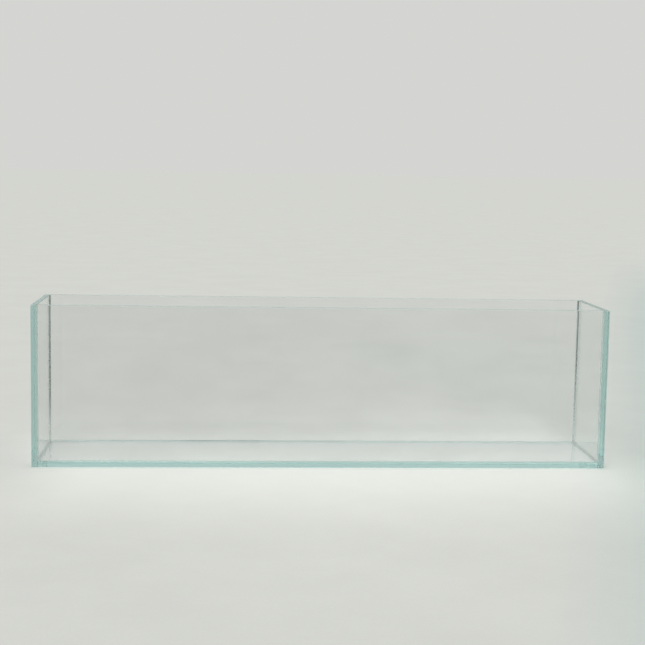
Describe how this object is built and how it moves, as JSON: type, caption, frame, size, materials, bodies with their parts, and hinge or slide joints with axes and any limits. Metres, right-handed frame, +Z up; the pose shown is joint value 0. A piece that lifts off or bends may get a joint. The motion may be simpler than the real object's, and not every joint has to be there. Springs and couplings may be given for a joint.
{
  "type": "glass aquarium tank",
  "caption": "Long, low rimless aquarium tank of polished low-iron glass panes, glued at their edges with clear silicone, open at the top.",
  "frame": {"origin": "centre of the footprint, on the surface that the tank stands on", "axes": "+X along the tank's length, towards its right end seen from the front; +Y from the front pane to the back pane; +Z up, out of the open top"},
  "size_m": [1, 0.19, 0.28],
  "materials": {
    "low_iron_glass": "polished faces, fine-ground edges that look pale green seen along the sheet",
    "silicone_bond": "clear cured silicone between the panes, bubble-free, slightly milky",
    "silicone_bead": "clear cured silicone, tooled to a smooth hollow, slightly milky"
  },
  "bodies": {
    "root": {"front_pane": "low_iron_glass", "back_pane": "low_iron_glass", "left_pane": "low_iron_glass", "right_pane": "low_iron_glass", "bottom_pane": "low_iron_glass", "bond_front_left": "silicone_bond", "bond_front_right": "silicone_bond", "bond_back_left": "silicone_bond", "bond_back_right": "silicone_bond", "bond_bottom_front": "silicone_bond", "bond_bottom_back": "silicone_bond", "bond_bottom_left": "silicone_bond", "bond_bottom_right": "silicone_bond", "bead_front_left": "silicone_bead", "bead_front_right": "silicone_bead", "bead_back_left": "silicone_bead", "bead_back_right": "silicone_bead", "bead_bottom_front": "silicone_bead", "bead_bottom_back": "silicone_bead", "bead_bottom_left": "silicone_bead", "bead_bottom_right": "silicone_bead"}
  },
  "joints": []
}
